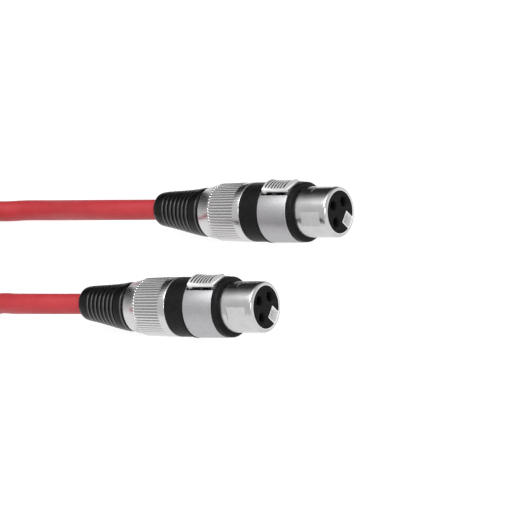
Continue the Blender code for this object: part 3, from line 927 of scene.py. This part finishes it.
def strap_loop(share):
    """A point and its outward direction on the strap's rounded loop, share of the way round it."""
    flat = STRAP_HALF - STRAP_CORNER
    upright = (STRAP_HIGH - STRAP_LOW) / 2 - STRAP_CORNER
    bend = math.pi / 2 * STRAP_CORNER
    runs = [2 * flat, bend, 2 * upright, bend] * 2
    far = (share % 1.0) * sum(runs)
    middle = (STRAP_HIGH + STRAP_LOW) / 2
    corners = [(flat, upright), (flat, -upright), (-flat, -upright), (-flat, upright)]
    for side in range(4):
        turn = Matrix.Rotation(-side * math.pi / 2, 2)
        along, out = turn @ Vector((1, 0)), turn @ Vector((0, 1))
        run, arc = runs[2 * side], runs[2 * side + 1]
        corner = Vector(corners[side])
        if far <= run:
            return corner - along * (run - far) + out * STRAP_CORNER + Vector((0, middle)), out
        far -= run
        if far <= arc:
            angle = far / STRAP_CORNER
            direction = out * math.cos(angle) + along * math.sin(angle)
            return corner + direction * STRAP_CORNER + Vector((0, middle)), direction
        far -= arc
    return corner + out * STRAP_CORNER + Vector((0, middle)), out


def strap_mesh():
    """The strap round the coil: one turn, then a tail that lies on the first turn over the top."""
    out = Vector((math.cos(TIE_ANGLE), math.sin(TIE_ANGLE), 0))
    across = Vector((-out.y, out.x, 0))
    centre = COIL_CENTRE + out * COIL_COLUMNS[1]
    rows = []
    for turned in steps(0, STRAP_TURNS, 240):
        place, normal = strap_loop(turned)
        lift = (STRAP_THICKNESS + 0.08) * smooth(0.93, 1.0, turned)
        taper = 1 - 0.35 * smooth(STRAP_TURNS - 0.05, STRAP_TURNS, turned) ** 2
        row = []
        for w, h in STRAP_SECTION:
            flat = place + normal * (lift + h * STRAP_THICKNESS)
            side = across * w * STRAP_WIDTH / 2 * taper
            row.append(centre + out * flat.x * MM + Vector((0, 0, flat.y * MM)) + side * MM)
        rows.append(row)
    return mesh_of("strap", rows, closed=False, caps=True, sharp=60)


# ---------------------------------------------------------------- pieces


def piece(name, data, finish, body, nodes, place=(0, 0, 0)):
    """Shows a mesh or curve in place of CAD nodes, on their body."""
    if not data.materials:
        data.materials.append(finish)
    made = bpy.data.objects.new(name, data)
    bpy.context.scene.collection.objects.link(made)
    made.location = place
    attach(made, body)
    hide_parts(*nodes)
    return made


def show_connectors():
    """Every visible piece of the two connectors, from one set of meshes."""
    ring, contact = ring_plastic(), contact_silver()
    shared = [
        ("shell", shell_mesh(), satin_nickel(), "nickel", ROOT),
        ("front_ring", front_ring_mesh(), ring, "black_plastic", ROOT),
        ("rear_ring", rear_ring_mesh(), ring, "black_plastic", ROOT),
        ("insert", insert_mesh(), insert_plastic(), "insulator", ROOT),
        ("latch", latch_mesh(), None, "nickel", "latch"),
        ("back_nut", back_nut_mesh(), nut_nickel(), "nickel", "back_nut"),
        ("boot", boot_mesh(), boot_rubber(), "rubber", "boot"),
    ]
    shared += [(f"contact_{n}", contact_mesh(n), contact, "contact_metal", ROOT) for n in CONTACT_ANGLES]
    polish_nose(shared[0][1], shared[0][2])
    for end in ENDS:
        for name, mesh, finish, slot, body in shared:
            rides_on = body if body == ROOT else f"{body}_{end}"
            piece(f"{name}_{end}_look", mesh, finish, rides_on, [f"{name}_{end}"], PLACES[end])


def polish_nose(mesh, satin):
    """Polishes the shell in front of the front ring, and dulls its bore and the floor of its recess."""
    for finish in (satin, polished_nickel(), inner_nickel(), recess_nickel()):
        mesh.materials.append(finish)
    floor_normal = spot(0, 1 / MM, RECESS_ANGLE)
    for face in mesh.polygons:
        inner = math.hypot(face.center.y, face.center.z) < (BORE_R + 0.02) * MM
        front = -face.center.x < POLISH_END * MM
        recess = front and face.normal.dot(floor_normal) > 0.9999 and not inner
        face.material_index = 3 if recess else 2 if inner else 1 if front else 0


def finish_inner_nodes():
    """The CAD nodes that stay inside the connectors get their own finishes."""
    steel = spring_steel()
    finishes = {
        "ground_contact": steel,
        "latch_pin": steel,
        "latch_spring": steel,
        "chuck": chuck_plastic(),
        "core_2": core_plastic("core_white", (0.75, 0.75, 0.72), (0.66, 0.66, 0.62)),
        "core_3": core_plastic("core_blue", (0.03, 0.10, 0.40), (0.02, 0.07, 0.32)),
        "drain_wire": bare_copper(),
    }
    for end in ENDS:
        for name, finish in finishes.items():
            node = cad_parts[f"{name}_{end}"]
            node.data.materials.clear()
            node.data.materials.append(finish)


def show_cable():
    """The cable and its strap."""
    nodes = [f"{name}_{end}" for end in ENDS for name in ("cable_end", "cable_lead")]
    cable = piece("cable", cable_curve(), cable_jacket(), ROOT, [*nodes, "cable_coil"])
    strap = piece("strap", strap_mesh(), hook_and_loop(), ROOT, ["cable_tie"])


# ---------------------------------------------------------------- studio


def add_floor():
    """A glowing white table, whose edges the camera never sees."""
    data = bpy.data.meshes.new("floor")
    half = FLOOR_SIZE / 2
    corners = [(-half, -half, 0), (half, -half, 0), (half, half, 0), (-half, half, 0)]
    data.from_pydata(corners, [], [(0, 1, 2, 3)])
    floor = bpy.data.objects.new("floor", data)
    bpy.context.scene.collection.objects.link(floor)
    paper = Finish("light_table", (0.18, 0.18, 0.18), 0.9, specular=0.0)
    paper.set("Emission Color", (1.0, 1.0, 1.0, 1.0))
    paper.set("Emission Strength", FLOOR_GLOW)
    data.materials.append(paper.material)


def add_world():
    """A soft white studio: bright overhead and at the horizon, with one dark wall.

    The wall stands behind the connectors, and shows only in their polished tops.
    """
    world = bpy.data.worlds.new("studio")
    bpy.context.scene.world = world
    world.use_nodes = True
    nodes, links = world.node_tree.nodes, world.node_tree.links
    direction = nodes.new("ShaderNodeTexCoord").outputs["Generated"]

    def ranged(value, sizes):
        made = nodes.new("ShaderNodeMapRange")
        made.interpolation_type = "SMOOTHSTEP"
        for socket, size in zip(("From Min", "From Max", "To Min", "To Max"), sizes):
            made.inputs[socket].default_value = size
        links.new(value, made.inputs["Value"])
        return made.outputs["Result"]

    apart = nodes.new("ShaderNodeSeparateXYZ")
    links.new(direction, apart.inputs["Vector"])
    overhead = ranged(apart.outputs["Z"], OVERHEAD_SHADE)
    toward = nodes.new("ShaderNodeVectorMath")
    toward.operation = "DOT_PRODUCT"
    toward.inputs[1].default_value = DARK_WALL.normalized()
    links.new(direction, toward.inputs[0])
    wall = ranged(toward.outputs["Value"], WALL_SHADE)
    above_horizon = nodes.new("ShaderNodeMix")
    above_horizon.inputs["A"].default_value = HORIZON_LIGHT
    links.new(ranged(apart.outputs["Z"], HORIZON_SHADE), above_horizon.inputs["Factor"])
    links.new(wall, above_horizon.inputs["B"])
    product = nodes.new("ShaderNodeMath")
    product.operation = "MULTIPLY"
    links.new(overhead, product.inputs[0])
    links.new(above_horizon.outputs["Result"], product.inputs[1])
    links.new(product.outputs["Value"], nodes["Background"].inputs["Strength"])
    nodes["Background"].inputs["Color"].default_value = (1.0, 1.0, 1.0, 1.0)


def add_lights():
    """A key lamp high over the near side, and a front lamp that picks out the forward edges."""
    for name, energy, size, place in LAMPS:
        data = bpy.data.lights.new(name, "AREA")
        data.energy = energy
        data.size = size
        lamp = bpy.data.objects.new(name, data)
        bpy.context.scene.collection.objects.link(lamp)
        lamp.location = place
        lamp.rotation_euler = (PLACES["a"] - lamp.location).to_track_quat("-Z", "Y").to_euler()


def add_camera():
    """A long lens, so that both connectors show alike."""
    data = bpy.data.cameras.new("camera")
    data.lens = data.sensor_width * CAMERA_DISTANCE / VIEW_WIDTH
    data.clip_end = 100.0
    camera = bpy.data.objects.new("camera", data)
    bpy.context.scene.collection.objects.link(camera)
    backward = VIEW_RIGHT.cross(VIEW_UP)
    target = PLACES["a"] + VIEW_RIGHT * AIM_RIGHT + VIEW_UP * AIM_UP
    turn = Matrix((VIEW_RIGHT, VIEW_UP, backward)).transposed().to_4x4()
    camera.matrix_world = Matrix.Translation(target + backward * CAMERA_DISTANCE) @ turn
    bpy.context.scene.camera = camera


bpy.context.scene.view_settings.view_transform = "Standard"
add_camera()
show_cable()
show_connectors()
finish_inner_nodes()
add_floor()
add_world()
add_lights()
